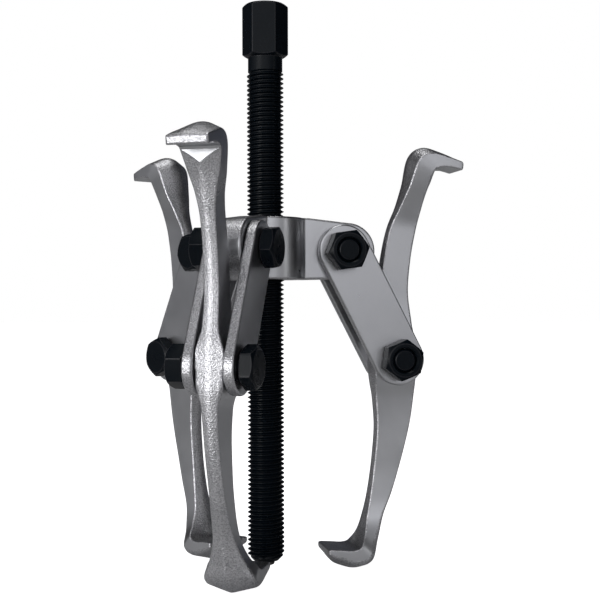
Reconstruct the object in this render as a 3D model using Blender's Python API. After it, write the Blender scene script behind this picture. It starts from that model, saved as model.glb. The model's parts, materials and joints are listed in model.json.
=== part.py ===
"""Three-arm reversible gear puller, in metres, +Z up along the spindle.

The origin is the flat end of the pressure point, at the spindle's lower tip. Arm 1 lies along +X,
arm 2 at +120 degrees and arm 3 at -120 degrees about Z. On each arm a pair of straps hangs from a
bolt through the yoke and carries a forged leg on a second bolt.
"""
import math

import bmesh
import bpy
from mathutils import Matrix, Vector

MM = 0.001
FIT_GAP = 0.3               # clearance that touching pieces keep

# Driving dimensions, in millimetres
ARM_ANGLES = (0.0, 120.0, -120.0)
YOKE_PIVOT = Vector((33.0, 0.0, 136.8))     # yoke bolt, in its arm's frame: out, across, up
LEG_PIVOT = Vector((57.7, 0.0, 89.1))       # leg bolt, in its arm's frame

SPINDLE_D = 16.0            # M16 x 2 thread
SPINDLE_HEX = 17.5          # across flats
SPINDLE_HEX_H = 23.4
SPINDLE_TOP = 244.4
SPINDLE_NECK_D = 15.0
SPINDLE_NECK_H = 6.0
SPINDLE_FOOT = 1.9          # the screwed end stands this far above the pressure face
SPINDLE_CHAMFER = 2.6
SPINDLE_TURN = -14.6        # how far the head is turned about the spindle, in degrees
POINT_D = 7.4
POINT_CHAMFER = 0.9
POINT_DEPTH = 8.0           # the pressure point's length

ARM_T = 12.2                # yoke arms and leg bosses, across
ARM_EDGE = 0.9              # their bevelled edges
YOKE_HUB_D = 34.0
YOKE_BASE = 124.1
YOKE_TOP = 151.0
YOKE_END_R = 12.3           # round end of a yoke arm
YOKE_END_SHIFT = 2.6        # the round end's centre lies this far outside the bolt

STRAP_T = 4.5
STRAP_END_R = 11.3
STRAP_EDGE = 0.9

BOLT_D = 10.0               # M10
BOLT_HEX = 16.0             # across flats
BOLT_HEAD_H = 6.4
NUT_H = 8.4
BOLT_RECESS = 0.6           # the bolt's end lies this deep in the nut
HEX_CHAMFER = 30.0          # slope of the cut-back hexagon corners, in degrees
HEX_TURNS = {"yoke": 8.0, "leg": 22.0}      # how far each hexagon is turned, in degrees

ROUND_STEPS = 32
RIDGE_SHARE = 0.34          # height of the forging ridge, as a share of the half width
LEG_STEPS = 3               # sections drawn for each station below

HALF_STACK = ARM_T / 2 + FIT_GAP + STRAP_T  # from the middle to a strap's outer face
HOLE_R = BOLT_D / 2 + FIT_GAP

# Stations along a leg from the lower claw's tip to the upper claw's, about the leg bolt: the
# inner edge (out, up), the outer edge (out, up), the half width across, and how much of the
# forging ridge stands on the inner and the outer edge. Gripping faces have none.
LEG_STATIONS = (
    ((-32.0, -82.0), (-32.0, -84.8), 11.0, 0.0, 0.2),
    ((-26.5, -82.4), (-26.5, -87.3), 11.2, 0.0, 0.8),
    ((-21.0, -82.8), (-19.0, -89.4), 11.4, 0.0, 0.85),
    ((-17.6, -81.6), (-12.6, -87.4), 11.3, 0.4, 0.85),
    ((-15.0, -76.8), (-9.2, -79.0), 7.8, 0.95, 0.9),
    ((-13.2, -69.0), (-5.8, -68.5), 4.7, 1.0, 1.0),
    ((-11.2, -59.5), (-1.6, -58.5), 3.7, 1.0, 1.0),
    ((-9.2, -45.0), (3.1, -43.5), 3.2, 1.0, 1.0),
    ((-8.0, -30.0), (6.8, -28.5), 3.2, 1.0, 1.0),
    ((-8.8, -15.5), (8.6, -14.5), 3.3, 1.0, 1.0),
    ((-9.6, -8.5), (9.0, -8.5), ARM_T / 2, 1.0, 0.6),
    ((-9.6, 8.5), (8.6, 8.5), ARM_T / 2, 1.0, 0.6),
    ((-8.6, 15.5), (7.8, 14.5), 3.3, 1.0, 1.0),
    ((-6.6, 30.0), (6.1, 30.0), 3.2, 1.0, 1.0),
    ((-4.8, 45.0), (7.3, 44.5), 3.2, 1.0, 1.0),
    ((-1.8, 58.0), (9.6, 57.0), 3.3, 1.0, 1.0),
    ((2.2, 67.0), (12.0, 67.0), 4.4, 1.0, 1.0),
    ((6.0, 76.5), (14.2, 76.0), 6.8, 1.0, 1.0),
    ((10.0, 88.0), (17.0, 83.4), 8.5, 1.5, 0.5),
    ((15.6, 91.2), (20.0, 85.0), 8.8, 1.7, 0.0),
    ((23.0, 89.8), (25.0, 85.1), 8.8, 1.2, 0.0),
    ((30.9, 87.4), (30.4, 83.6), 8.7, 0.2, 0.0),
)


def clear_scene():
    """Remove every object that the scene starts with."""
    for item in list(bpy.data.objects):
        bpy.data.objects.remove(item, do_unlink=True)


def make_material(name, colour, roughness, metallic):
    """Return a Principled material."""
    material = bpy.data.materials.new(name)
    material.use_nodes = True
    shader = material.node_tree.nodes["Principled BSDF"]
    shader.inputs["Base Color"].default_value = (*colour, 1.0)
    shader.inputs["Roughness"].default_value = roughness
    shader.inputs["Metallic"].default_value = metallic
    return material


def add_object(name, mesh, material=None, parent=None):
    """Put a bmesh into the scene as an object. Without a material it is a cutter or a form."""
    bmesh.ops.recalc_face_normals(mesh, faces=mesh.faces)
    data = bpy.data.meshes.new(name)
    mesh.to_mesh(data)
    mesh.free()
    data.shade_smooth()
    data.set_sharp_from_angle(angle=math.radians(30))
    item = bpy.data.objects.new(name, data)
    item.parent = parent
    bpy.context.collection.objects.link(item)
    if material:
        data.materials.append(material)
    else:
        item.hide_render = True
        item.display_type = "WIRE"
    return item


def add_empty(name, location, parent=None, turn=0.0):
    """Return an empty that carries a joint or an arm; location in mm, turn in degrees about Z."""
    item = bpy.data.objects.new(name, None)
    item.location = location * MM
    item.rotation_euler.z = math.radians(turn)
    item.parent = parent
    bpy.context.collection.objects.link(item)
    return item


def combine(item, form, operation):
    """Join a form to item or cut it away."""
    step = item.modifiers.new(form.name, "BOOLEAN")
    step.operation = operation
    step.solver = "EXACT"
    step.object = form


def arc(centre, radius, start, end, steps):
    """Return the points of an arc, angles in degrees, both ends included."""
    points = []
    for i in range(steps + 1):
        angle = math.radians(start + (end - start) * i / steps)
        points.append((centre[0] + radius * math.cos(angle), centre[1] + radius * math.sin(angle)))
    return points


def slab(outline, near, far, edge):
    """Return a plate with its outline in the X-Z plane, from Y = near to far, edges bevelled."""
    mesh = bmesh.new()
    face = mesh.faces.new([mesh.verts.new((x * MM, near * MM, z * MM)) for x, z in outline])
    made = bmesh.ops.extrude_face_region(mesh, geom=[face])["geom"]
    moved = [v for v in made if isinstance(v, bmesh.types.BMVert)]
    bmesh.ops.translate(mesh, vec=(0, (far - near) * MM, 0), verts=moved)
    rims = [e for e in mesh.edges if abs(e.verts[0].co.y - e.verts[1].co.y) < MM * 0.01]
    bmesh.ops.bevel(mesh, geom=rims, offset=edge * MM, segments=1, affect="EDGES")
    return mesh


def turned(profile, steps=ROUND_STEPS):
    """Return a closed body turned about Z from (radius, height) points that end on the axis."""
    mesh = bmesh.new()
    rings = []
    for radius, height in profile:
        count = steps if radius else 1
        rings.append([mesh.verts.new((radius * math.cos(math.tau * i / steps) * MM,
                                      radius * math.sin(math.tau * i / steps) * MM,
                                      height * MM)) for i in range(count)])
    for low, high in zip(rings, rings[1:]):
        for i in range(steps):
            j = (i + 1) % steps
            corners = (low[i % len(low)], low[j % len(low)], high[j % len(high)], high[i % len(high)])
            mesh.faces.new(list(dict.fromkeys(corners)))
    return mesh


def rod(radius, low, high):
    """Return a plain cylinder about Z."""
    return turned([(0, low), (radius, low), (radius, high), (0, high)])


def hexagon(across_flats, low, high, turn=0.0):
    """Return a hexagonal block about Z whose top corners are cut back to a round face."""
    corner = across_flats / math.sqrt(3)
    face_r = across_flats / 2 * 0.9
    drop = (corner - face_r) * math.tan(math.radians(HEX_CHAMFER))
    form = turned([(0, low), (corner, low), (corner, high - drop), (face_r, high), (0, high)], 6)
    bmesh.ops.rotate(form, matrix=Matrix.Rotation(math.radians(turn), 3, "Z"), verts=form.verts)
    return form


def across(mesh, turn_over=False):
    """Lay a body made about Z along Y: its top points to +Y, or to -Y when turned over."""
    angle = 90 if turn_over else -90
    bmesh.ops.rotate(mesh, matrix=Matrix.Rotation(math.radians(angle), 3, "X"), verts=mesh.verts)
    return mesh


def bore(item, name, centre, radius, half_length):
    """Cut a hole along Y through item, at centre in item's parent's frame."""
    form = add_object(name, across(rod(radius, -half_length, half_length)), parent=item.parent)
    form.location = centre * MM
    combine(item, form, "DIFFERENCE")


def make_spindle(parent, material):
    """The screw: hexagon head, smooth neck, threaded length and a chamfered, bored foot."""
    r = SPINDLE_D / 2
    neck_r = SPINDLE_NECK_D / 2
    hex_base = SPINDLE_TOP - SPINDLE_HEX_H
    neck_base = hex_base - SPINDLE_NECK_H
    socket_r = POINT_D / 2 + FIT_GAP
    socket_top = POINT_DEPTH + FIT_GAP
    profile = [
        (0, socket_top), (socket_r, socket_top), (socket_r, SPINDLE_FOOT),
        (r - SPINDLE_CHAMFER, SPINDLE_FOOT), (r, SPINDLE_FOOT + SPINDLE_CHAMFER),
        (r, neck_base), (neck_r, neck_base + r - neck_r), (neck_r, hex_base + 1), (0, hex_base + 1),
    ]
    item = add_object("spindle", turned(profile), material, parent)
    head = add_object("spindle_head_form", hexagon(SPINDLE_HEX, hex_base, SPINDLE_TOP, SPINDLE_TURN),
                      parent=parent)
    combine(item, head, "UNION")


def make_pressure_point(parent, material):
    """The hard point that stands still on the shaft while the spindle turns round it."""
    r = POINT_D / 2
    profile = [(0, 0), (r - POINT_CHAMFER, 0), (r, POINT_CHAMFER), (r, POINT_DEPTH), (0, POINT_DEPTH)]
    add_object("pressure_point", turned(profile), material, parent)


def make_yoke(arms, material):
    """The forged spider: a round hub with three arms, bored for the spindle and the bolts."""
    hub_r = YOKE_HUB_D / 2
    hub = [(0, YOKE_BASE), (hub_r - ARM_EDGE, YOKE_BASE), (hub_r, YOKE_BASE + ARM_EDGE),
           (hub_r, YOKE_TOP - ARM_EDGE), (hub_r - ARM_EDGE, YOKE_TOP), (0, YOKE_TOP)]
    item = add_object("yoke", turned(hub, 2 * ROUND_STEPS), material)
    centre = (YOKE_PIVOT.x + YOKE_END_SHIFT, YOKE_PIVOT.z)
    outline = [(0, YOKE_BASE), (hub_r, YOKE_BASE), *arc(centre, YOKE_END_R, -90, 90, 16),
               (hub_r, YOKE_TOP), (0, YOKE_TOP)]
    for number, arm in enumerate(arms, 1):
        form = add_object(f"yoke_arm_form_{number}", slab(outline, -ARM_T / 2, ARM_T / 2, ARM_EDGE),
                          parent=arm)
        combine(item, form, "UNION")
    combine(item, add_object("yoke_bore", rod(SPINDLE_D / 2 + FIT_GAP, YOKE_BASE - 5, YOKE_TOP + 5)),
            "DIFFERENCE")
    for number, arm in enumerate(arms, 1):
        form = add_object(f"yoke_bolt_hole_{number}", across(rod(HOLE_R, -ARM_T, ARM_T)), parent=arm)
        form.location = YOKE_PIVOT * MM
        combine(item, form, "DIFFERENCE")


def make_bolt(name, parent, centre, turn, material):
    """A hexagon bolt along Y with its head at +Y, its middle at centre in the parent's frame."""
    seat = HALF_STACK + FIT_GAP
    end = seat + NUT_H - BOLT_RECESS
    r = BOLT_D / 2
    shank = turned([(0, -end), (r - 1, -end), (r, 1 - end), (r, seat + 1), (0, seat + 1)])
    item = add_object(name, across(shank), material, parent)
    head = across(hexagon(BOLT_HEX, seat, seat + BOLT_HEAD_H, turn))
    form = add_object(f"{name}_head_form", head, parent=parent)
    item.location = form.location = centre * MM
    combine(item, form, "UNION")


def make_nut(name, parent, centre, turn, material):
    """A hexagon nut on the -Y side of centre in the parent's frame."""
    seat = HALF_STACK + FIT_GAP
    item = add_object(name, across(hexagon(BOLT_HEX, seat, seat + NUT_H, turn), True), material, parent)
    item.location = centre * MM
    bore(item, f"{name}_bore", centre, HOLE_R, 2 * (seat + NUT_H))


def make_strap(name, parent, side, material):
    """A flat link with full round ends; side is 1 for +Y and -1 for -Y."""
    drop = LEG_PIVOT - YOKE_PIVOT
    lean = math.degrees(math.atan2(drop.x, -drop.z))
    outline = (arc((0, 0), STRAP_END_R, lean, lean + 180, 16)
               + arc((drop.x, drop.z), STRAP_END_R, lean + 180, lean + 360, 16))
    inner = side * (HALF_STACK - STRAP_T)
    item = add_object(name, slab(outline, inner, side * HALF_STACK, STRAP_EDGE), material, parent)
    for end, centre in (("upper", Vector((0, 0, 0))), ("lower", drop)):
        bore(item, f"{name}_{end}_hole", centre, HOLE_R, 2 * HALF_STACK)


def smooth_points(points, steps):
    """Return points on a Catmull-Rom curve through the given ones, which it includes."""
    points = [Vector(p) for p in points]
    ends = [2 * points[0] - points[1], *points, 2 * points[-1] - points[-2]]
    curve = []
    for a, b, c, d in zip(ends, ends[1:], ends[2:], ends[3:]):
        for i in range(steps):
            t = i / steps
            curve.append(0.5 * (2 * b + t * (c - a) + t * t * (2 * a - 5 * b + 4 * c - d)
                                + t ** 3 * (3 * b - a - 3 * c + d)))
    return [*curve, points[-1]]


def leg_sections():
    """Return the leg's cross-sections: six points each, out, across and up from the leg bolt."""
    inner = smooth_points([s[0] for s in LEG_STATIONS], LEG_STEPS)
    outer = smooth_points([s[1] for s in LEG_STATIONS], LEG_STEPS)
    sections = []
    for i, (a, b) in enumerate(zip(inner, outer)):
        index, part = divmod(i, LEG_STEPS)
        start = LEG_STATIONS[index]
        end = LEG_STATIONS[min(index + 1, len(LEG_STATIONS) - 1)]
        half, in_share, out_share = (x + (y - x) * part / LEG_STEPS for x, y in zip(start[2:], end[2:]))
        way = (b - a).normalized()
        crown_in = a - way * half * RIDGE_SHARE * in_share
        crown_out = b + way * half * RIDGE_SHARE * out_share
        sections.append([(a.x, -half, a.y), (crown_in.x, 0, crown_in.y), (a.x, half, a.y),
                         (b.x, half, b.y), (crown_out.x, 0, crown_out.y), (b.x, -half, b.y)])
    return sections


def make_leg(name, parent, material):
    """A forged leg: an inward claw at the foot, a boss for its bolt and an outward claw on top."""
    mesh = bmesh.new()
    rings = [[mesh.verts.new(Vector(p) * MM) for p in section] for section in leg_sections()]
    for low, high in zip(rings, rings[1:]):
        for i in range(6):
            j = (i + 1) % 6
            mesh.faces.new((low[i], low[j], high[j], high[i]))
    mesh.faces.new(rings[0])
    mesh.faces.new(rings[-1])
    bmesh.ops.triangulate(mesh, faces=mesh.faces)
    item = add_object(name, mesh, material, parent)
    bore(item, f"{name}_bolt_hole", Vector((0, 0, 0)), HOLE_R, 2 * ARM_T)


def main():
    """Build the puller."""
    clear_scene()
    plated = make_material("plated_steel", (0.33, 0.33, 0.34), 0.35, 1.0)
    oxide = make_material("black_oxide_steel", (0.008, 0.01, 0.014), 0.4, 0.6)
    hard = make_material("hard_steel", (0.02, 0.022, 0.026), 0.35, 0.8)
    origin = Vector((0, 0, 0))
    strap_drop = LEG_PIVOT - YOKE_PIVOT
    arms = [add_empty(f"arm_{i}", origin, turn=angle) for i, angle in enumerate(ARM_ANGLES, 1)]
    feed = add_empty("spindle_feed", origin)
    make_pressure_point(feed, hard)
    make_spindle(add_empty("spindle_turn", origin, feed), oxide)
    make_yoke(arms, plated)
    for number, arm in enumerate(arms, 1):
        link = add_empty(f"link_swing_{number}", YOKE_PIVOT, arm)
        make_strap(f"strap_{number}_left", link, 1, plated)
        make_strap(f"strap_{number}_right", link, -1, plated)
        for place, centre in (("yoke", origin), ("leg", strap_drop)):
            make_bolt(f"{place}_bolt_{number}", link, centre, HEX_TURNS[place], oxide)
            make_nut(f"{place}_nut_{number}", link, centre, HEX_TURNS[place], oxide)
        make_leg(f"leg_{number}", add_empty(f"leg_swing_{number}", strap_drop, link), plated)


if __name__ == "__main__":
    main()
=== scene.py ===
"""Three-arm reversible gear puller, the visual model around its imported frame.

Lengths are metres in the frame's axes: the spindle stands on Z with its point at the origin and
arm 1 lies along +X. What repeats is modelled once on arm 1, copied and turned about Z.
"""

import json
import logging
import math
from dataclasses import dataclass, replace
from enum import Enum, IntEnum

import bmesh
import bpy
from bpy.types import Material, Node, NodeSocket, NodeTree, Object
from mathutils import Matrix, Vector

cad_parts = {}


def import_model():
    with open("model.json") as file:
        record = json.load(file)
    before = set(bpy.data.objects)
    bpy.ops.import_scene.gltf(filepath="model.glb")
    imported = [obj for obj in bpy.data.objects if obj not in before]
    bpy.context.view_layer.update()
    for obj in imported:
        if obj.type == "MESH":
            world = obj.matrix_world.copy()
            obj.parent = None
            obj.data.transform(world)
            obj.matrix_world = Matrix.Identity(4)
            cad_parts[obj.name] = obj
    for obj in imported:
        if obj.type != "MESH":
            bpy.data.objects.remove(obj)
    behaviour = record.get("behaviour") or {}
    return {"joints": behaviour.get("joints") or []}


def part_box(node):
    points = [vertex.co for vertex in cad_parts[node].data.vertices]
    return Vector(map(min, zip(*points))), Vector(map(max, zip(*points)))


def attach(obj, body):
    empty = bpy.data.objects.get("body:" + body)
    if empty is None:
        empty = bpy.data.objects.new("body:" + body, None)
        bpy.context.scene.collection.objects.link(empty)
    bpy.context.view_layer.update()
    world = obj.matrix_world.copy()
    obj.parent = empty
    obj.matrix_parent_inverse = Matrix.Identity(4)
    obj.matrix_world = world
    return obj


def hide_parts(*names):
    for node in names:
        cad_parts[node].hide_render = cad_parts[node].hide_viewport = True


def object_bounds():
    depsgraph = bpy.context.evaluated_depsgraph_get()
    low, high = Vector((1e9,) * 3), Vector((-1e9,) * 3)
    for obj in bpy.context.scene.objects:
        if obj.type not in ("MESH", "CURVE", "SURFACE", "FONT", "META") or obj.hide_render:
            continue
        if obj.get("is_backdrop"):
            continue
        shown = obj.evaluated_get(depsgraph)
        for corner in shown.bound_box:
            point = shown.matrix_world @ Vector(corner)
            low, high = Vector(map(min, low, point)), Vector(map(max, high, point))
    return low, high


LOG = logging.getLogger("gear_puller")
MM = 0.001
ARM_ANGLES = {1: 0.0, 2: 120.0, 3: -120.0}
RING = 72                   # points round a turned or hexagonal section
ORDER = "ring_order"        # attribute with each section point's place in its ring
FIT_GAP = 0.3 * MM          # between a strap and the washer face of a bolt or nut
WELD = 0.002 * MM           # points closer than this become one
CUT_REACH = 0.001 * MM      # how near to a cutting plane a point counts as on it
CHAMFER_SLOPE = math.tan(math.radians(30))      # of the cone that chamfers a hexagon
FACE_SHARE = 0.9            # its round face, as a share of the size across the flats
HEX_EDGE = 25.0             # least angle in degrees of a hexagon's edge that is rounded
MIX_SHARE, MIX_FIRST, MIX_SECOND, MIX_RESULT = 0, 6, 7, 2   # sockets of a Mix node for colours


class Slot(Enum):
    """The record's material slots."""

    PLATED = "plated_steel"
    OXIDE = "black_oxide_steel"
    HARD = "hardened_steel"


class Coat(IntEnum):
    """Which of its piece's two finishes a face wears."""

    MAIN = 0
    SECOND = 1


# -------- bench work

def select_only(item: Object) -> None:
    """Make a piece the one selected and active object.

    Args:
        item: the piece.
    """
    bpy.ops.object.select_all(action="DESELECT")
    item.select_set(True)
    bpy.context.view_layer.objects.active = item


def start_edit(item: Object, whole: bool = True) -> None:
    """Open a piece in edit mode.

    Args:
        item: the piece.
        whole: start with all of it selected instead of nothing.
    """
    select_only(item)
    bpy.ops.object.mode_set(mode="EDIT")
    bpy.ops.mesh.select_all(action="SELECT" if whole else "DESELECT")


def end_edit(item: Object) -> Object:
    """Turn every face outwards and leave edit mode.

    Args:
        item: the piece that is open.

    Returns:
        The same piece.
    """
    bpy.ops.mesh.select_all(action="SELECT")
    bpy.ops.mesh.normals_make_consistent(inside=False)
    bpy.ops.object.mode_set(mode="OBJECT")
    return item


def open_slots(item: Object) -> None:
    """Give item two empty material slots, so that its faces keep their finish through the cuts."""
    for _ in range(2):
        item.data.materials.append(None)


def loft(name: str, rings: list[list[Vector]]) -> Object:
    """Extrude a filled ring from section to section.

    Args:
        name: the new object's name.
        rings: the sections in order, each with the same number of points.

    Returns:
        A closed object whose points keep their place in the ring in an attribute.
    """
    bpy.ops.object.select_all(action="DESELECT")
    bpy.ops.mesh.primitive_circle_add(vertices=len(rings[0]), radius=MM, fill_type="NGON")
    item = bpy.context.object
    item.name = item.data.name = name
    open_slots(item)
    item.data.attributes.new(ORDER, "INT", "POINT").data.foreach_set("value", range(len(rings[0])))
    start_edit(item)
    for number, ring in enumerate(rings):
        if number:
            bpy.ops.mesh.extrude_region_move()
        form = bmesh.from_edit_mesh(item.data)
        place = form.verts.layers.int[ORDER]
        for vertex in form.verts:
            if vertex.select:
                vertex.co = ring[vertex[place]]
        bmesh.update_edit_mesh(item.data)
    return end_edit(item)


def trace(name: str, points: list[Vector], fill: bool = True) -> Object:
    """Draw an outline by extruding a corner from point to point.

    Args:
        name: the new object's name.
        points: the corners in order.
        fill: close the outline and fill it with a face.

    Returns:
        The outline object.
    """
    bpy.ops.object.select_all(action="DESELECT")
    bpy.ops.mesh.primitive_plane_add(size=MM)
    item = bpy.context.object
    item.name = item.data.name = name
    open_slots(item)
    start_edit(item)
    bpy.ops.mesh.merge(type="CENTER")
    bpy.ops.transform.translate(value=points[0])
    for start, end in zip(points, points[1:]):
        bpy.ops.mesh.extrude_region_move(TRANSFORM_OT_translate={"value": end - start})
    if fill:
        bpy.ops.mesh.select_all(action="SELECT")
        bpy.ops.mesh.edge_face_add()
    bpy.ops.object.mode_set(mode="OBJECT")
    return item


def thicken(item: Object, move: Vector) -> Object:
    """Extrude a filled outline to a closed block.

    Args:
        item: the outline.
        move: how far it is extruded, and which way.

    Returns:
        The block.
    """
    start_edit(item)
    bpy.ops.mesh.extrude_region_move(TRANSFORM_OT_translate={"value": move})
    return end_edit(item)


def apply_step(item: Object, kind: str, **settings: object) -> None:
    """Add a modifier to a piece and apply it.

    Args:
        item: the piece.
        kind: the modifier's type.
        settings: the modifier's own properties.
    """
    select_only(item)
    step = item.modifiers.new(kind, kind)
    for name, value in settings.items():
        setattr(step, name, value)
    bpy.ops.object.modifier_apply(modifier=step.name)


def discard(item: Object) -> None:
    """Remove a cutter or pattern piece that has done its work."""
    bpy.data.objects.remove(item, do_unlink=True)


def cut(item: Object, tool: Object) -> None:
    """Cut tool's shape out of item and discard the tool."""
    apply_step(item, "BOOLEAN", object=tool, operation="DIFFERENCE", solver="EXACT")
    discard(tool)


def round_edges(item: Object, width: float, segments: int, angle: float, slot: int = -1) -> None:
    """Round the edges that are sharper than an angle.

    Args:
        item: the piece.
        width: how far the rounding reaches from an edge.
        segments: its number of steps.
        angle: the least angle in degrees that is rounded.
        slot: the rounded faces' finish, or -1 for their neighbours'.
    """
    apply_step(item, "BEVEL", width=width, segments=segments, limit_method="ANGLE", material=slot,
               angle_limit=math.radians(angle), use_clamp_overlap=False)


def copy_turned(item: Object, name: str, turn: Matrix) -> Object:
    """Copy a piece with its own mesh and turn the copy.

    Args:
        item: the piece that is copied.
        name: the copy's name.
        turn: its place relative to item.

    Returns:
        The copy, with its place in its mesh.
    """
    twin = item.copy()
    twin.data = item.data.copy()
    twin.name = twin.data.name = name
    bpy.context.collection.objects.link(twin)
    twin.matrix_world = turn @ item.matrix_world
    select_only(twin)
    bpy.ops.object.transform_apply(location=True, rotation=True, scale=True)
    return twin


def arm_turn(arm: int) -> Matrix:
    """Return the turn about Z that brings arm 1 to another arm."""
    return Matrix.Rotation(math.radians(ARM_ANGLES[arm]), 4, "Z")


def cut_each_arm(item: Object, tool: Object) -> None:
    """Cut the shape of arm 1's tool out of every arm and discard the tool.

    Args:
        item: the piece with the three arms.
        tool: the cutter, in place on arm 1.
    """
    for arm in ARM_ANGLES:
        cut(item, copy_turned(tool, f"{tool.name}_{arm}", arm_turn(arm)))
    discard(tool)


def arc(centre: tuple[float, float], radius: float, start: float, end: float,
        steps: int) -> list[tuple[float, float]]:
    """Return the points of an arc, angles in degrees, both ends included."""
    angles = [math.radians(start + (end - start) * i / steps) for i in range(steps + 1)]
    return [(centre[0] + radius * math.cos(a), centre[1] + radius * math.sin(a)) for a in angles]


def circle(radius: float, height: float) -> list[Vector]:
    """Return a round section about Z."""
    return [Vector((radius * math.cos(math.tau * i / RING), radius * math.sin(math.tau * i / RING),
                    height)) for i in range(RING)]


def hexagon(across: float, face: float, height: float, chamfer: float) -> list[Vector]:
    """Return a hexagonal section about Z that follows the cut of a chamfer cone.

    Args:
        across: size across the flats.
        face: radius of the round face that the chamfer leaves.
        height: level of that face.
        chamfer: the cone's slope; negative when the section lies above the face.

    Returns:
        The section, with a point on each corner.
    """
    points = []
    for i in range(RING):
        angle = math.tau * i / RING
        radius = across / 2 / math.cos(angle % (math.pi / 3) - math.pi / 6)
        drop = (radius - face) * chamfer
        points.append(Vector((radius * math.cos(angle), radius * math.sin(angle), height - drop)))
    return points


def plug(name: str, radius: float, low: float, high: float, flare: float) -> Object:
    """Model a cutter about Z for a hole with chamfered mouths.

    Args:
        name: the cutter's name.
        radius: the hole's radius.
        low: level of its lower mouth.
        high: level of its upper mouth.
        flare: width of the chamfers.

    Returns:
        The cutter.
    """
    rings = [circle(radius + 2 * flare, low - flare), circle(radius, low + flare),
             circle(radius, high - flare), circle(radius + 2 * flare, high + flare)]
    return loft(name, rings)


def lay_across(item: Object, centre: Vector, turn: float = 0.0,
               over: bool = False) -> Object:
    """Lay a piece made about Z along Y.

    Args:
        item: the piece.
        centre: where its middle goes.
        turn: how far it is first turned about its own axis, in degrees.
        over: its top points to -Y instead of +Y.

    Returns:
        The piece, with its place in its mesh.
    """
    tip = Matrix.Rotation(math.radians(90 if over else -90), 4, "X")
    spin = Matrix.Rotation(math.radians(turn), 4, "Z")
    item.matrix_world = Matrix.Translation(centre) @ tip @ spin
    select_only(item)
    bpy.ops.object.transform_apply(location=True, rotation=True, scale=True)
    return item


def dress(item: Object, materials: list[Material]) -> None:
    """Fill item's material slots in order."""
    for place, material in enumerate(materials):
        item.data.materials[place] = material


def hand_over(item: Object, body: str, node: str,
              materials: list[Material], smooth: float = 32.0) -> None:
    """Finish a piece and give it to its body.

    Args:
        item: the piece, in place.
        body: the body it moves with.
        node: the CAD node it stands for.
        materials: its finishes, the main one first.
        smooth: edges sharper than this many degrees stay sharp.
    """
    if ORDER in item.data.attributes:
        item.data.attributes.remove(item.data.attributes[ORDER])
    dress(item, materials)
    select_only(item)
    bpy.ops.object.shade_smooth_by_angle(angle=math.radians(smooth))
    apply_step(item, "WEIGHTED_NORMAL", keep_sharp=True)
    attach(item, body)
    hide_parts(node)
    LOG.info("%s: %d faces, rides on %s", item.name, len(item.data.polygons), body)


# -------- finishes

SPECK_START, SPECK_FULL = 0.42, 0.66    # grain pattern where a speck begins and where it is full
CLOUD_LOW, CLOUD_HIGH = 0.3, 0.7        # part of the cloud pattern that the roughness runs over


def linear(colour: str) -> tuple[float, float, float, float]:
    """Turn an sRGB hex colour to linear RGBA."""
    parts = [int(colour[i:i + 2], 16) / 255 for i in (1, 3, 5)]
    return (*(p / 12.92 if p <= 0.04045 else ((p + 0.055) / 1.055) ** 2.4 for p in parts), 1.0)


def add_node(tree: NodeTree, kind: str, inputs: dict | None = None,
             **settings: object) -> Node:
    """Add a node.

    Args:
        tree: the node tree.
        kind: the node's type.
        inputs: value, or output socket to link, of each input by name or number.
        settings: the node's own properties.

    Returns:
        The node.
    """
    node = tree.nodes.new(kind)
    for name, value in settings.items():
        setattr(node, name, value)
    for name, value in (inputs or {}).items():
        if isinstance(value, NodeSocket):
            tree.links.new(value, node.inputs[name])
        else:
            node.inputs[name].default_value = value
    return node


@dataclass(frozen=True)
class SteelFinish:
    """A metal surface: clouded tone, grain in relief, and specks where the skin is rough."""

    name: str
    tone: str               # the surface's main colour
    second_tone: str        # the colour that the clouding runs to
    speck_tone: str
    metallic: float
    roughness: tuple[float, float]      # at the two ends of the clouding
    cloud: float            # size of the clouding, in mm
    grain: float            # size of the grain, in mm, drawn coarse enough to show
    relief: float           # height of the grain, in mm
    specks: float           # how strongly the specks show
    shine: float = 0.5      # specular level where the surface is not bare metal

    def material(self) -> Material:
        """Build the material.

        Returns:
            The material, its patterns on object coordinates.
        """
        material = bpy.data.materials.new(self.name)
        material.use_nodes = True
        tree = material.node_tree
        shader = tree.nodes["Principled BSDF"]
        shader.inputs["Metallic"].default_value = self.metallic
        shader.inputs["Specular IOR Level"].default_value = self.shine
        where = add_node(tree, "ShaderNodeTexCoord").outputs["Object"]
        cloud = add_node(tree, "ShaderNodeTexNoise",
                         {"Vector": where, "Scale": 1 / (self.cloud * MM), "Detail": 4.0})
        grain = add_node(tree, "ShaderNodeTexNoise",
                         {"Vector": where, "Scale": 1 / (self.grain * MM), "Detail": 2.0})
        tone = add_node(tree, "ShaderNodeMix",
                        {MIX_SHARE: cloud.outputs["Fac"], MIX_FIRST: linear(self.tone),
                         MIX_SECOND: linear(self.second_tone)}, data_type="RGBA")
        speck = add_node(tree, "ShaderNodeMapRange",
                         {"Value": grain.outputs["Fac"], "From Min": SPECK_START,
                          "From Max": SPECK_FULL, "To Max": self.specks})
        colour = add_node(tree, "ShaderNodeMix",
                          {MIX_SHARE: speck.outputs["Result"], MIX_FIRST: tone.outputs[MIX_RESULT],
                           MIX_SECOND: linear(self.speck_tone)}, data_type="RGBA")
        rough = add_node(tree, "ShaderNodeMapRange",
                         {"Value": cloud.outputs["Fac"], "From Min": CLOUD_LOW, "From Max": CLOUD_HIGH,
                          "To Min": self.roughness[0], "To Max": self.roughness[1]})
        bump = add_node(tree, "ShaderNodeBump", {"Height": grain.outputs["Fac"], "Strength": 1.0,
                                                 "Distance": self.relief * MM})
        tree.links.new(colour.outputs[MIX_RESULT], shader.inputs["Base Color"])
        tree.links.new(rough.outputs["Result"], shader.inputs["Roughness"])
        tree.links.new(bump.outputs["Normal"], shader.inputs["Normal"])
        return material


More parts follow.
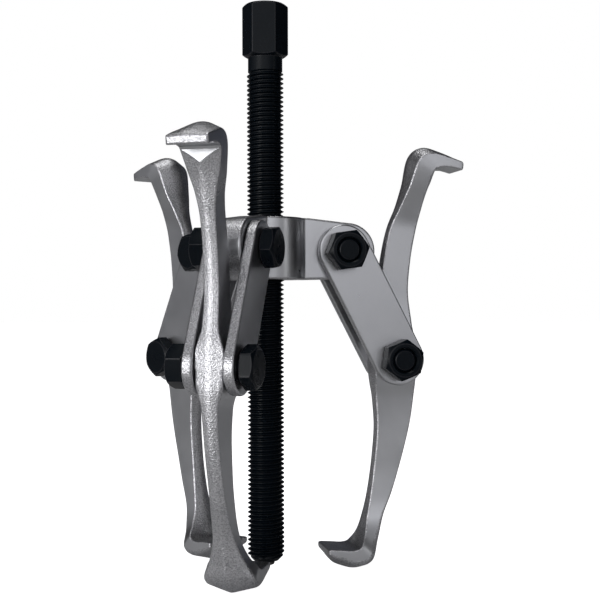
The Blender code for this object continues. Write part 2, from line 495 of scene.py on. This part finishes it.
# Satin nickel-chrome plate over ground steel: an even, soft silver that clouds slightly.
SATIN_PLATE = SteelFinish("satin_nickel_plate", "#B0B1B4", "#C0C1C3", "#9A9A9E", metallic=1.0,
                          roughness=(0.27, 0.36), cloud=14.0, grain=0.9, relief=0.012, specks=0.0)
# The same plate over the forging's own skin: small grains glitter between dull specks.
FORGED_PLATE = SteelFinish("plated_forging_skin", "#BDBDC0", "#C6C6C8", "#78787C", metallic=1.0,
                           roughness=(0.30, 0.42), cloud=9.0, grain=0.62, relief=0.25, specks=0.6)
# Hot black oxide on turned steel: near black with a blue cast and a faint oily sheen.
BLACK_OXIDE = SteelFinish("black_oxide", "#03080F", "#060D12", "#040509", metallic=0.0,
                          roughness=(0.24, 0.34), cloud=8.0, grain=0.6, relief=0.006, specks=0.3,
                          shine=0.1)
# Black oxide on the hexagons' rounded edges, painted greyer and a little brighter as a highlight along
# them.
EDGE_HIGHLIGHT_OXIDE = SteelFinish("black_oxide_painted_edge_highlight", "#18191E", "#14161B", "#101114", metallic=0.0,
                           roughness=(0.24, 0.34), cloud=5.0, grain=0.5, relief=0.006, specks=0.35,
                           shine=0.2)
# Hardened and ground steel: a dark straw-grey that still mirrors softly.
HARD_STEEL = SteelFinish("hardened_ground_steel", "#4E4C4A", "#5A5856", "#3A3836", metallic=1.0,
                         roughness=(0.22, 0.32), cloud=4.0, grain=0.5, relief=0.006, specks=0.2)


# -------- pieces

@dataclass
class Spindle:
    """The screw with its hexagon head, and the hard point that stands in its foot."""

    bottom: float           # level of the foot
    top: float              # level of the head's top
    radius: float = 8.0 * MM
    root: float = 6.8 * MM  # radius at the thread's root
    pitch: float = 2.0 * MM
    steps: int = 32         # segments in each turn of the thread
    head_height: float = 23.4 * MM
    across_flats: float = 17.5 * MM
    head_turn: float = -14.6        # degrees about the spindle
    head_edge: float = 0.3 * MM     # rounding of the head's edges
    neck_radius: float = 7.5 * MM
    neck_height: float = 6.0 * MM
    foot_chamfer: float = 2.6 * MM
    socket_radius: float = 4.0 * MM
    socket_top: float = 8.3 * MM
    join: float = 0.3 * MM          # gap under the neck that a bridge closes
    point_face: float = 1.2 * MM    # radius of the pressure point's flat end
    point_rim: float = 0.9 * MM     # rounding of its rim
    point_chamfer: float = 0.3 * MM     # at its hidden end

    def thread_profile(self, low: float) -> list[Vector]:
        """Draw one pitch of the thread's outline.

        Args:
            low: level where it starts.

        Returns:
            The outline's points, upwards from the root.
        """
        depth = self.radius - self.root
        # part of the pitch, share of the depth
        shape = ((0.0, 0.0), (0.11, 0.0), (0.42, 0.94), (0.46, 1.0), (0.54, 1.0), (0.58, 0.94),
                 (0.89, 0.0), (1.0, 0.0))
        return [Vector((self.root + depth * share, 0, low + self.pitch * part))
                for part, share in shape]

    def limit(self, height: float, high: float) -> float:
        """Return the radius that the end chamfers leave at a height."""
        foot = self.radius - self.foot_chamfer + (height - self.bottom)
        return min(foot, self.neck_radius + 0.5 * (high - height))

    def build_thread(self, high: float) -> Object:
        """Wind the thread from the foot up to the neck, with a socket in its foot.

        Args:
            high: level of its upper end.

        Returns:
            The threaded length, open at the top.
        """
        low = self.bottom - 1.5 * self.pitch    # the foot's plane then cuts whole turns
        item = trace("spindle_screw", self.thread_profile(low), fill=False)
        turns = math.ceil((high - low) / self.pitch) + 1
        apply_step(item, "SCREW", axis="Z", angle=math.tau, steps=self.steps,
                   render_steps=self.steps, iterations=turns, screw_offset=self.pitch,
                   use_merge_vertices=True, merge_threshold=WELD)
        start_edit(item)
        bpy.ops.mesh.remove_doubles(threshold=WELD)
        bpy.ops.mesh.select_all(action="SELECT")
        bpy.ops.mesh.bisect(plane_co=(0, 0, high), plane_no=(0, 0, 1), clear_outer=True,
                            threshold=CUT_REACH)
        bpy.ops.mesh.select_all(action="SELECT")
        bpy.ops.mesh.bisect(plane_co=(0, 0, self.bottom), plane_no=(0, 0, 1), clear_inner=True,
                            use_fill=True, threshold=CUT_REACH)
        bpy.ops.object.mode_set(mode="OBJECT")
        for vertex in item.data.vertices:
            radius = math.hypot(vertex.co.x, vertex.co.y)
            most = self.limit(vertex.co.z, high)
            if radius > most:
                vertex.co.x *= most / radius
                vertex.co.y *= most / radius
        self.sink_socket(item)
        return item

    def sink_socket(self, item: Object) -> None:
        """Inset the foot's face to the socket's circle and push it up.

        Args:
            item: the threaded length.
        """
        level, rim = 0.05 * MM, 0.6 * MM        # how near the foot's face lies; its first inset
        start_edit(item, whole=False)
        form = bmesh.from_edit_mesh(item.data)
        foot = max((f for f in form.faces if abs(f.calc_center_median().z - self.bottom) < level),
                   key=lambda f: f.calc_area())
        foot.select_set(True)
        bmesh.update_edit_mesh(item.data)
        bpy.ops.mesh.inset(thickness=rim)
        for height in (self.bottom, self.socket_top):
            if height > self.bottom:
                bpy.ops.mesh.extrude_region_move()
            form = bmesh.from_edit_mesh(item.data)
            for vertex in form.verts:
                if vertex.select:
                    flat = Vector((vertex.co.x, vertex.co.y)).normalized() * self.socket_radius
                    vertex.co = (flat.x, flat.y, height)
            bmesh.update_edit_mesh(item.data)
        end_edit(item)

    def build_head(self, neck_base: float) -> Object:
        """Model the neck and the hexagon.

        Args:
            neck_base: level of the neck's lower end.

        Returns:
            The head, open at the bottom.
        """
        base = self.top - self.head_height
        flat = self.across_flats / 2 * FACE_SHARE
        rings = [circle(self.neck_radius, neck_base), circle(self.neck_radius, base),
                 circle(flat, base), hexagon(self.across_flats, flat, base, -CHAMFER_SLOPE),
                 hexagon(self.across_flats, flat, self.top, CHAMFER_SLOPE), circle(flat, self.top)]
        item = loft("spindle_head", rings)
        start_edit(item, whole=False)
        form = bmesh.from_edit_mesh(item.data)
        for face in form.faces:
            face.select_set(len(face.verts) == RING and face.calc_center_median().z < base - MM)
        bmesh.update_edit_mesh(item.data)
        bpy.ops.mesh.delete(type="ONLY_FACE")
        end_edit(item)
        item.rotation_euler.z = math.radians(self.head_turn)
        select_only(item)
        bpy.ops.object.transform_apply(rotation=True)
        # the rounded edges take the second finish, black oxide painted lighter as a highlight
        round_edges(item, self.head_edge, 2, HEX_EDGE, slot=Coat.SECOND)
        return item

    def build(self, finishes: list[Material]) -> None:
        """Make the spindle: thread, neck and hexagon in one closed piece.

        Args:
            finishes: black oxide, plain and with the painted edge highlight.
        """
        neck_base = self.top - self.head_height - self.neck_height
        item = self.build_thread(neck_base - self.join)
        dress(item, finishes)
        head = self.build_head(neck_base)
        dress(head, finishes)
        head.select_set(True)
        item.select_set(True)
        bpy.context.view_layer.objects.active = item
        bpy.ops.object.join()
        start_edit(item, whole=False)
        form = bmesh.from_edit_mesh(item.data)
        for edge in form.edges:
            edge.select_set(edge.is_boundary)
        bmesh.update_edit_mesh(item.data)
        bpy.ops.mesh.bridge_edge_loops()
        end_edit(item)
        hand_over(item, "spindle", "spindle", finishes)

    def build_point(self, finish: Material) -> None:
        """Make the pressure point, a hard pin with a rounded rim.

        Args:
            finish: the hardened steel.
        """
        low, high = (corner.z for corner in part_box("pressure_point"))
        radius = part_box("pressure_point")[1].x
        rim = arc((radius - self.point_rim, low + self.point_rim), self.point_rim, -90, 0, 6)
        rings = [circle(self.point_face, low), *(circle(r, z) for r, z in rim),
                 circle(radius, high - self.point_chamfer), circle(radius - self.point_chamfer, high)]
        hand_over(loft("pressure_point_pin", rings), "pressure_point", "pressure_point",
                  [finish, finish])


@dataclass
class Yoke:
    """The forged spider: a round hub with three arms, bored for the spindle and the bolts."""

    pivot: Vector           # arm 1's bolt
    hub_radius: float = 17.0 * MM
    arm_half: float = 6.1 * MM      # half an arm's thickness
    fillet: float = 1.2 * MM        # between hub and arm
    end_radius: float = 12.3 * MM
    end_shift: float = 2.6 * MM     # from the bolt out to the round end's centre
    edge: float = 1.1 * MM          # rounding of the outer edges
    bore: float = 8.3 * MM
    bore_flare: float = 0.7 * MM    # chamfer of the spindle's bore
    bolt_hole: float = 5.3 * MM
    hole_flare: float = 0.4 * MM    # chamfer of the bolt holes

    def plan(self) -> list[Vector]:
        """Draw the outline seen from above.

        Returns:
            Its points.
        """
        fillet_steps, hub_steps = 7, 18
        reach = math.sqrt((self.hub_radius + self.fillet) ** 2 - (self.arm_half + self.fillet) ** 2)
        side = self.arm_half + self.fillet
        lean = math.degrees(math.atan2(side, reach))
        end = self.pivot.x + self.end_shift + self.end_radius + MM
        corner = [*arc((reach, -side), self.fillet, 180 - lean, 90, fillet_steps),
                  (end, -self.arm_half), (end, self.arm_half),
                  *arc((reach, side), self.fillet, -90, lean - 180, fillet_steps),
                  *arc((0, 0), self.hub_radius, lean, 120 - lean, hub_steps)[1:-1]]
        points = []
        for angle in (0, 120, 240):
            turn = Matrix.Rotation(math.radians(angle), 3, "Z")
            points += [turn @ Vector((x, y, 0)) for x, y in corner]
        return points

    def build(self, finishes: list[Material]) -> None:
        """Make the yoke.

        Args:
            finishes: plate on ground steel and on the forging's skin.
        """
        low, high = (corner.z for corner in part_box("yoke"))
        item = trace("yoke_forging", [p + Vector((0, 0, low)) for p in self.plan()])
        thicken(item, Vector((0, 0, high - low)))
        # the tool takes off what lies outside an arm's round end
        root, beyond = self.hub_radius + MM, self.pivot.x + 30 * MM
        margin, across = 3 * MM, 10 * MM
        end = arc((self.pivot.x + self.end_shift, self.pivot.z), self.end_radius, -90, 90, 36)
        outline = [(root, low), *end, (root, high), (root, high + margin), (beyond, high + margin),
                   (beyond, low - margin), (root, low - margin)]
        tool = trace("arm_end", [Vector((x, -across, z)) for x, z in outline])
        cut_each_arm(item, thicken(tool, Vector((0, 2 * across, 0))))
        round_edges(item, self.edge, segments=4, angle=40.0)
        cut(item, plug("spindle_bore", self.bore, low, high, self.bore_flare))
        tool = plug("bolt_bore", self.bolt_hole, -self.arm_half, self.arm_half, self.hole_flare)
        cut_each_arm(item, lay_across(tool, self.pivot))
        upright = 0.3           # faces that look up or down more than this keep the skin
        for face in item.data.polygons:
            face.material_index = Coat.SECOND if abs(face.normal.z) > upright else Coat.MAIN
        hand_over(item, "yoke", "yoke", finishes)


@dataclass
class Linkage:
    """The straps, bolts and nuts that carry a leg on an arm."""

    upper: Vector           # arm 1's yoke bolt
    lower: Vector           # arm 1's leg bolt
    strap_end: float = 11.3 * MM    # radius of a strap's round ends
    strap_edge: float = 0.9 * MM    # rounding of its edges
    hole: float = 5.3 * MM          # radius of the holes in straps and nuts
    strap_flare: float = 0.3 * MM   # chamfer of a strap's holes
    nut_flare: float = 0.5 * MM     # and of a nut's
    bolt: float = 5.0 * MM          # radius of a bolt's shank
    tip: float = 0.9 * MM           # chamfer of its end
    tip_rim: float = 0.2 * MM       # flat kept inside that chamfer
    across_flats: float = 16.0 * MM
    hex_edge: float = 0.25 * MM     # rounding of a hexagon's edges
    washer: float = 7.5 * MM        # radius of the round face that it seats on
    washer_height: float = 0.45 * MM
    washer_slope: float = 0.3       # of the hexagon's underside beyond that face
    turns: tuple[float, float] = (8.0, 22.0)    # of the yoke's and the leg's hexagons, degrees

    def build_strap(self) -> Object:
        """Model the +Y strap of arm 1.

        Returns:
            The strap, in place.
        """
        end_steps = 30
        broad = 0.5             # faces that look sideways more than this are ground
        inner, outer = (corner.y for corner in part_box("strap_1_left"))
        drop = self.lower - self.upper
        lean = math.degrees(math.atan2(drop.x, -drop.z))
        outline = (arc((self.upper.x, self.upper.z), self.strap_end, lean, lean + 180, end_steps)
                   + arc((self.lower.x, self.lower.z), self.strap_end, lean + 180, lean + 360,
                         end_steps))
        item = trace("strap", [Vector((x, inner, z)) for x, z in outline])
        thicken(item, Vector((0, outer - inner, 0)))
        round_edges(item, self.strap_edge, segments=3, angle=50.0)
        for centre in (self.upper, self.lower):
            tool = plug("strap_hole", self.hole, inner - outer, outer - inner, self.strap_flare)
            lay_across(tool, Vector((centre.x, (inner + outer) / 2, centre.z)))
            cut(item, tool)
        for face in item.data.polygons:
            face.material_index = Coat.MAIN if abs(face.normal.y) > broad else Coat.SECOND
        return item

    def hex_rings(self, seat: float, top: float) -> list[list[Vector]]:
        """Draw the sections of a bolt's head or a nut.

        Args:
            seat: level of the washer face.
            top: level of the chamfered top.

        Returns:
            The sections, upwards.
        """
        flat = self.across_flats / 2 * FACE_SHARE
        base = seat + self.washer_height
        return [circle(self.washer, seat), circle(self.washer, base),
                hexagon(self.across_flats, self.washer, base, -self.washer_slope),
                hexagon(self.across_flats, flat, top, CHAMFER_SLOPE), circle(flat, top)]

    def build_bolt(self, node: str, turn: float, centre: Vector) -> Object:
        """Model a hexagon bolt with its head at +Y.

        Args:
            node: the CAD node that gives its ends.
            turn: how far its head is turned, in degrees.
            centre: its pivot.

        Returns:
            The bolt, in place on arm 1.
        """
        low, high = (corner.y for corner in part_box(node))
        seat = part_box("strap_1_left")[1].y + FIT_GAP
        rings = [circle(self.bolt - self.tip - self.tip_rim, low), circle(self.bolt - self.tip, low),
                 circle(self.bolt, low + self.tip), circle(self.bolt, seat),
                 *self.hex_rings(seat, high)]
        item = loft("bolt", rings)
        # the rounded edges take the second finish, black oxide painted lighter as a highlight
        round_edges(item, self.hex_edge, 2, HEX_EDGE, slot=Coat.SECOND)
        return lay_across(item, Vector((centre.x, 0, centre.z)), turn)

    def build_nut(self, node: str, turn: float, centre: Vector) -> Object:
        """Model a hexagon nut at -Y.

        Args:
            node: the CAD node that gives its outer face.
            turn: how far it is turned, in degrees.
            centre: its bolt's pivot.

        Returns:
            The nut, in place on arm 1.
        """
        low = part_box(node)[0].y
        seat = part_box("strap_1_left")[1].y + FIT_GAP
        item = loft("nut", self.hex_rings(seat, -low))
        # the rounded edges take the second finish, black oxide painted lighter as a highlight
        round_edges(item, self.hex_edge, 2, HEX_EDGE, slot=Coat.SECOND)
        cut(item, plug("nut_bore", self.hole, seat, -low, self.nut_flare))
        return lay_across(item, Vector((centre.x, 0, centre.z)), turn, over=True)

    def build(self, plate: list[Material], oxide: list[Material]) -> None:
        """Make every strap, bolt and nut.

        Args:
            plate: the straps' finishes.
            oxide: the bolts' and nuts' finishes.
        """
        strap = self.build_strap()
        pieces = []
        for name, turn, centre in zip(("yoke", "leg"), self.turns, (self.upper, self.lower)):
            pieces.append((f"{name}_bolt", self.build_bolt(f"{name}_bolt_1", turn, centre)))
            pieces.append((f"{name}_nut", self.build_nut(f"{name}_nut_1", turn, centre)))
        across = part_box("strap_1_left")[0].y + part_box("strap_1_left")[1].y
        shifts = {"left": Vector(), "right": Vector((0, -across, 0))}
        for arm in ARM_ANGLES:
            turn = arm_turn(arm)
            for side, shift in shifts.items():
                place = turn @ Matrix.Translation(shift)
                twin = copy_turned(strap, f"strap_{arm}_{side}_plate", place)
                hand_over(twin, f"link_{arm}", f"strap_{arm}_{side}", plate)
            for name, piece in pieces:
                twin = copy_turned(piece, f"{name}_{arm}_hex", turn)
                hand_over(twin, f"link_{arm}", f"{name}_{arm}", oxide, smooth=HEX_EDGE)
        for item in (strap, *(piece for _, piece in pieces)):
            discard(item)


@dataclass(frozen=True)
class Station:
    """One place along a leg, in mm about the leg bolt."""

    inner: tuple[float, float]      # the inner edge: out, up
    outer: tuple[float, float]      # the outer edge: out, up
    half: float                     # half the width across
    ridge_in: float                 # how much of the forging ridge stands on the inner edge
    ridge_out: float                # and on the outer edge

    def inset(self, depth: float, move: Vector) -> "Station":
        """Move the station along the leg and make it smaller all round.

        Args:
            depth: how much smaller it gets on every side.
            move: how far it is moved, out and up.

        Returns:
            The new station.
        """
        inner, outer = Vector(self.inner), Vector(self.outer)
        way = (outer - inner).normalized() * depth
        return replace(self, inner=tuple(inner + way + move), outer=tuple(outer - way + move),
                       half=self.half - depth)


@dataclass
class Leg:
    """A forged leg: an inward claw at the foot, a boss for its bolt and an outward claw on top."""

    bolt: Vector            # arm 1's leg bolt
    hole: float = 5.3 * MM
    hole_flare: float = 0.4 * MM    # chamfer of the hole
    boss_half: float = 6.1  # half the boss's width; this and all lengths below are in mm
    stem_half: float = 3.2  # half the stem's width, at which the stem's roundings hold
    widening: float = 5.0   # how much wider half a claw is, at which the claws' hold
    ridge: float = 0.34     # height of the ridge, as a share of the half width
    crown: float = 2.6      # how far the ridge's rounding reaches on the stem
    crown_out: float = 0.7  # on the outer side of the claws
    crown_in: float = 4.4   # and on their inner side
    corner: float = 0.65    # how far the other corners' rounding reaches
    heel: float = 2.2       # and that of the foot's own outer corners
    corner_steps: int = 6
    steps: int = 8          # sections drawn for each station
    foot_round: float = 0.8     # rounding of the lower claw's tip
    tip_round: float = 1.2      # and of the upper claw's
    end_steps: int = 5      # sections that make such a rounding
    # the upper claw's flat underside and the slope that ends the ridge below it: out, up
    grip: tuple[tuple[float, float], ...] = (
        (17.9, 76.0), (17.5, 83.6), (18.2, 84.5), (19.8, 84.95), (25.0, 85.1), (29.0, 84.1),
        (31.5, 83.3), (36.0, 70.0), (24.0, 70.0))
    # from the lower claw's tip to the upper claw's
    stations: tuple[Station, ...] = tuple(Station(*row) for row in (
        ((-32.0, -82.0), (-32.0, -84.8), 11.0, 0.0, 0.2),
        ((-26.5, -82.4), (-26.5, -87.3), 11.2, 0.0, 0.8),
        ((-21.0, -82.8), (-19.0, -89.4), 11.4, 0.0, 0.85),
        ((-17.6, -81.6), (-12.6, -87.4), 11.3, 0.4, 0.8),
        ((-15.0, -76.8), (-9.2, -79.0), 7.8, 0.9, 0.8),
        ((-13.2, -69.0), (-5.8, -68.5), 4.7, 1.0, 0.95),
        ((-11.2, -59.5), (-1.6, -58.5), 3.7, 1.0, 1.0),
        ((-9.2, -45.0), (3.1, -43.5), 3.2, 1.0, 1.0),
        ((-8.0, -30.0), (6.8, -28.5), 3.2, 1.0, 1.0),
        ((-8.7, -17.5), (8.5, -16.5), 3.5, 1.0, 1.0),
        ((-9.3, -11.0), (8.9, -10.5), 4.9, 1.0, 0.9),
        ((-9.6, -5.0), (9.0, -5.0), 6.1, 1.0, 0.6),
        ((-9.6, 5.0), (8.7, 5.0), 6.1, 1.0, 0.6),
        ((-9.1, 11.0), (8.4, 10.5), 4.9, 1.0, 0.9),
        ((-8.4, 17.5), (7.6, 16.5), 3.5, 1.0, 1.0),
        ((-6.6, 30.0), (6.1, 30.0), 3.2, 1.0, 1.0),
        ((-4.8, 45.0), (7.3, 44.5), 3.2, 1.0, 1.0),
        ((-1.8, 58.0), (9.6, 57.0), 3.3, 1.0, 1.0),
        ((2.2, 67.0), (12.0, 67.0), 4.4, 1.0, 1.0),
        ((6.0, 76.5), (14.2, 76.0), 6.8, 1.0, 1.0),
        ((10.0, 88.0), (17.0, 83.4), 8.5, 1.45, 1.0),
        ((15.6, 91.2), (20.0, 85.0), 8.8, 1.65, 0.9),
        ((23.0, 89.8), (25.0, 85.1), 8.8, 1.2, 0.5),
        ((30.9, 87.4), (30.4, 83.6), 8.7, 0.2, 0.0),
    ))

    def path(self, points: list[Vector]) -> list[Vector]:
        """Draw a Catmull-Rom curve.

        Args:
            points: the points that it goes through.

        Returns:
            Its points, one for each section.
        """
        ends = [2 * points[0] - points[1], *points, 2 * points[-1] - points[-2]]
        curve = []
        for a, b, c, d in zip(ends, ends[1:], ends[2:], ends[3:]):
            for i in range(self.steps):
                t = i / self.steps
                curve.append(0.5 * (2 * b + t * (c - a) + t * t * (2 * a - 5 * b + 4 * c - d)
                                    + t ** 3 * (3 * b - a - 3 * c + d)))
        return [*curve, points[-1]]

    def blend(self, values: list[float]) -> list[float]:
        """Draw a smooth run through values that never passes beyond them.

        Args:
            values: one value for each station.

        Returns:
            One value for each section.
        """
        rises = [b - a for a, b in zip(values, values[1:])]
        slopes = [rises[0], *(2 * a * b / (a + b) if a * b > 0 else 0.0
                              for a, b in zip(rises, rises[1:])), rises[-1]]
        curve = []
        for a, b, m, n in zip(values, values[1:], slopes, slopes[1:]):
            for i in range(self.steps):
                t = i / self.steps
                curve.append(a + m * t + (3 * (b - a) - 2 * m - n) * t * t
                             + (m + n - 2 * (b - a)) * t ** 3)
        return [*curve, values[-1]]

    def run(self) -> list[Station]:
        """Draw every section of the leg.

        Returns:
            The sections from the lower claw's tip to the upper claw's.
        """
        columns = [self.path([Vector(s.inner) for s in self.stations]),
                   self.path([Vector(s.outer) for s in self.stations]),
                   self.blend([s.half for s in self.stations]),
                   self.blend([s.ridge_in for s in self.stations]),
                   self.blend([s.ridge_out for s in self.stations])]
        places = [Station(tuple(a), tuple(b), h, i, o) for a, b, h, i, o in zip(*columns)]
        places = self.round_end(places[::-1], self.foot_round)[::-1]
        return self.round_end(places, self.tip_round)

    def round_end(self, places: list[Station], radius: float) -> list[Station]:
        """Round the last section of a run over.

        Args:
            places: the sections, the last one at the end.
            radius: the rounding's radius in mm.

        Returns:
            The sections with the rounded end.
        """
        def middle(place: Station) -> Vector:
            """Return the middle of a section."""
            return (Vector(place.inner) + Vector(place.outer)) / 2

        last = places[-1]
        along = (middle(last) - middle(places[-3])).normalized()
        near = 4 * radius       # sections farther off belong to another part of the bend
        kept = [p for p in places if (middle(last) - middle(p)).dot(along) > radius
                or (middle(last) - middle(p)).length > near]
        for i in range(self.end_steps + 1):
            angle = math.radians(90 / self.end_steps * i)
            move = along * radius * (math.sin(angle) - 1)
            kept.append(last.inset(radius * (1 - math.cos(angle)), move))
        return kept

    def section(self, place: Station) -> list[Vector]:
        """Draw a rounded six-cornered section.

        Args:
            place: the section's size and place along the leg.

        Returns:
            Its points, in place on arm 1.
        """
        inner, outer = Vector(place.inner), Vector(place.outer)
        way = (outer - inner).normalized()
        depth = (outer - inner).length
        rise = place.half * self.ridge
        wide = min(1.0, (place.half - self.stem_half) / self.widening)
        most = 0.45             # share of a side that one corner's rounding may take
        inner_ridge, outer_ridge, outer_corners = 1, 4, (3, 5)
        corners = [Vector(p) for p in (
            (0, -place.half), (-rise * place.ridge_in, 0), (0, place.half),
            (depth, place.half), (depth + rise * place.ridge_out, 0), (depth, -place.half))]
        points = []
        reaches = {inner_ridge: self.crown + (self.crown_in - self.crown) * wide,
                   outer_ridge: self.crown + (self.crown_out - self.crown) * wide}
        if outer.y < 0:
            heel = self.corner + (self.heel - self.corner) * max(0.0, wide)
            reaches.update(dict.fromkeys(outer_corners, heel))
        for i, point in enumerate(corners):
            to_last, to_next = corners[i - 1] - point, corners[(i + 1) % 6] - point
            reach = min(reaches.get(i, self.corner), most * to_last.length, most * to_next.length)
            start, end = point + to_last.normalized() * reach, point + to_next.normalized() * reach
            for k in range(self.corner_steps + 1):
                t = k / self.corner_steps
                points.append((1 - t) ** 2 * start + 2 * t * (1 - t) * point + t * t * end)
        return [self.bolt + Vector((inner.x + way.x * p.x, p.y, inner.y + way.y * p.x)) * MM
                for p in points]

    def build(self, finishes: list[Material]) -> None:
        """Make the three legs.

        Args:
            finishes: plate on ground steel and on the forging's skin.
        """
        item = loft("leg", [self.section(place) for place in self.run()])
        # a face on a ground side has section points only where that side's corners end
        corner = self.corner_steps + 1
        ground = {2 * corner + self.corner_steps, 3 * corner, 5 * corner + self.corner_steps, 0}
        order = [v.value for v in item.data.attributes[ORDER].data]
        for face in item.data.polygons:
            is_ground = {order[i] for i in face.vertices} <= ground
            face.material_index = Coat.MAIN if is_ground else Coat.SECOND
        half = self.boss_half * MM
        cut(item, lay_across(plug("leg_bore", self.hole, -half, half, self.hole_flare), self.bolt))
        across = 15.0           # beyond the claw's half width
        outline = [self.bolt + Vector((out, -across, up)) * MM for out, up in self.grip]
        cut(item, thicken(trace("grip_cut", outline), Vector((0, 2 * across * MM, 0))))
        for arm in ARM_ANGLES:
            twin = copy_turned(item, f"leg_{arm}_forging", arm_turn(arm))
            hand_over(twin, f"leg_{arm}", f"leg_{arm}", finishes)
        discard(item)


@dataclass
class Studio:
    """Floor, lights and camera."""

    floor_level: float
    floor_radius: float = 6.0
    floor_gap: float = 0.2 * MM     # below the puller's lowest point
    floor_glow: float = 0.98        # light of its own, for the camera only
    camera_place: Vector = Vector((-0.1009, -0.5332, 0.1153))
    heading: float = 12.3           # degrees the camera looks to the right of +Y
    roll: float = -0.12             # degrees about its view
    lens: float = 74.5
    aim: Vector = Vector((0, 0, 0.12))      # the puller's middle, which the lights face
    bright_side: tuple[float, float, float] = (-0.57, -0.82, 0.0)
    # the room's colour opposite the bright side and at it
    room_ends: tuple[tuple[float, ...], ...] = ((0.06, 0.065, 0.085, 1), (1.75, 1.75, 1.77, 1))
    # and between the two: share of the way, brightness
    room_levels: tuple[tuple[float, float], ...] = (
        (0.2, 0.03), (0.4, 0.05), (0.62, 0.26), (0.78, 0.85), (0.88, 1.35))
    room_blue: float = 1.04         # how much stronger its blue is

    def add_camera(self) -> None:
        """Stand the camera in its place, level."""
        data = bpy.data.cameras.new("camera")
        data.lens = self.lens
        data.clip_start = 0.01
        camera = bpy.data.objects.new("camera", data)
        bpy.context.collection.objects.link(camera)
        camera.matrix_world = (Matrix.Translation(self.camera_place)
                               @ Matrix.Rotation(math.radians(-self.heading), 4, "Z")
                               @ Matrix.Rotation(math.radians(90), 4, "X")
                               @ Matrix.Rotation(math.radians(self.roll), 4, "Z"))
        bpy.context.scene.camera = camera

    def add_light(self, name: str, place: Vector, size: tuple[float, float], power: float) -> None:
        """Add a soft box that faces the puller's middle.

        Args:
            name: the light's name.
            place: where it stands.
            size: its width and height.
            power: its output in watts.
        """
        data = bpy.data.lights.new(name, "AREA")
        data.shape = "RECTANGLE"
        data.size, data.size_y = size
        data.energy = power
        light = bpy.data.objects.new(name, data)
        bpy.context.collection.objects.link(light)
        light.location = place
        light.rotation_euler = (self.aim - place).to_track_quat("-Z", "Y").to_euler()

    def add_world(self) -> None:
        """Surround the puller with a room that is bright at the front left and dim overhead."""
        world = bpy.data.worlds.new("room")
        bpy.context.scene.world = world
        world.use_nodes = True
        tree = world.node_tree
        back = tree.nodes["Background"]
        way = add_node(tree, "ShaderNodeTexCoord").outputs["Generated"]
        facing = add_node(tree, "ShaderNodeVectorMath", {0: way, 1: self.bright_side},
                          operation="DOT_PRODUCT")
        share = add_node(tree, "ShaderNodeMapRange",
                         {"Value": facing.outputs["Value"], "From Min": -1.0})
        ramp = add_node(tree, "ShaderNodeValToRGB", {"Fac": share.outputs["Result"]})
        stops = ramp.color_ramp.elements
        for stop, colour in zip(stops, self.room_ends):
            stop.color = colour
        for position, level in self.room_levels:
            stops.new(position).color = (level, level, level * self.room_blue, 1)
        height = add_node(tree, "ShaderNodeSeparateXYZ", {0: way}).outputs["Z"]
        ceiling = add_node(tree, "ShaderNodeMapRange",
                           {"Value": height, "From Min": 0.3, "From Max": 0.7, "To Min": 1.0,
                            "To Max": 0.2})
        tree.links.new(ceiling.outputs["Result"], back.inputs["Strength"])
        seen = add_node(tree, "ShaderNodeLightPath").outputs["Is Camera Ray"]
        shown = add_node(tree, "ShaderNodeMix",
                         {MIX_SHARE: seen, MIX_FIRST: ramp.outputs["Color"],
                          MIX_SECOND: (1, 1, 1, 1)}, data_type="RGBA")
        tree.links.new(shown.outputs[MIX_RESULT], back.inputs["Color"])

    def add_floor(self) -> None:
        """Lay a pale floor that runs out of view."""
        bpy.ops.object.select_all(action="DESELECT")
        bpy.ops.mesh.primitive_circle_add(vertices=96, radius=self.floor_radius, fill_type="NGON",
                                          location=(0, 0, self.floor_level - self.floor_gap))
        floor = bpy.context.object
        floor.name = "studio_floor"
        material = bpy.data.materials.new("pale_studio_floor")
        material.use_nodes = True
        tree = material.node_tree
        shader = tree.nodes["Principled BSDF"]
        shader.inputs["Roughness"].default_value = 0.9
        seen = add_node(tree, "ShaderNodeLightPath").outputs["Is Camera Ray"]
        tone = add_node(tree, "ShaderNodeMix",
                        {MIX_SHARE: seen, MIX_FIRST: linear("#DADADA"),
                         MIX_SECOND: linear("#FAFAFA")}, data_type="RGBA")
        glow = add_node(tree, "ShaderNodeMath", {0: seen, 1: self.floor_glow}, operation="MULTIPLY")
        tree.links.new(tone.outputs[MIX_RESULT], shader.inputs["Base Color"])
        shader.inputs["Emission Color"].default_value = (1, 1, 1, 1)
        tree.links.new(glow.outputs["Value"], shader.inputs["Emission Strength"])
        floor.data.materials.append(material)
        floor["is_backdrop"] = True

    def build(self) -> None:
        """Set the studio up."""
        self.add_camera()
        self.add_world()
        self.add_floor()
        self.add_light("soft_box_left", Vector((-0.95, -0.75, 0.04)), (0.55, 0.55), 8.0)
        self.add_light("soft_box_top", Vector((-0.1, 0.05, 1.2)), (0.8, 0.4), 4.0)
        self.add_light("strip_right", Vector((0.78, -0.63, 0.15)), (0.12, 0.8), 0.45)
        bpy.context.scene.view_settings.view_transform = "Standard"


def main() -> None:
    """Build the visual model around the frame."""
    logging.basicConfig(level=logging.INFO, format="%(message)s")
    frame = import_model()
    cad_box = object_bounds()
    pivots = {joint["name"]: Vector(joint["pos_m"]) for joint in frame["joints"]
              if "pos_m" in joint}
    plate = [SATIN_PLATE.material(), FORGED_PLATE.material()]
    # the second oxide finish is painted lighter as a highlight on the hexagons' edges
    oxide = [BLACK_OXIDE.material(), EDGE_HIGHLIGHT_OXIDE.material()]
    bottom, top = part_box("spindle")
    spindle = Spindle(bottom=bottom.z, top=top.z)
    spindle.build(oxide)
    spindle.build_point(HARD_STEEL.material())
    Yoke(pivot=pivots["link_swing_1"]).build(plate)
    Linkage(upper=pivots["link_swing_1"], lower=pivots["leg_swing_1"]).build(plate, oxide)
    Leg(bolt=pivots["leg_swing_1"]).build(plate)
    Studio(floor_level=cad_box[0][2]).build()


if __name__ == "__main__":
    main()
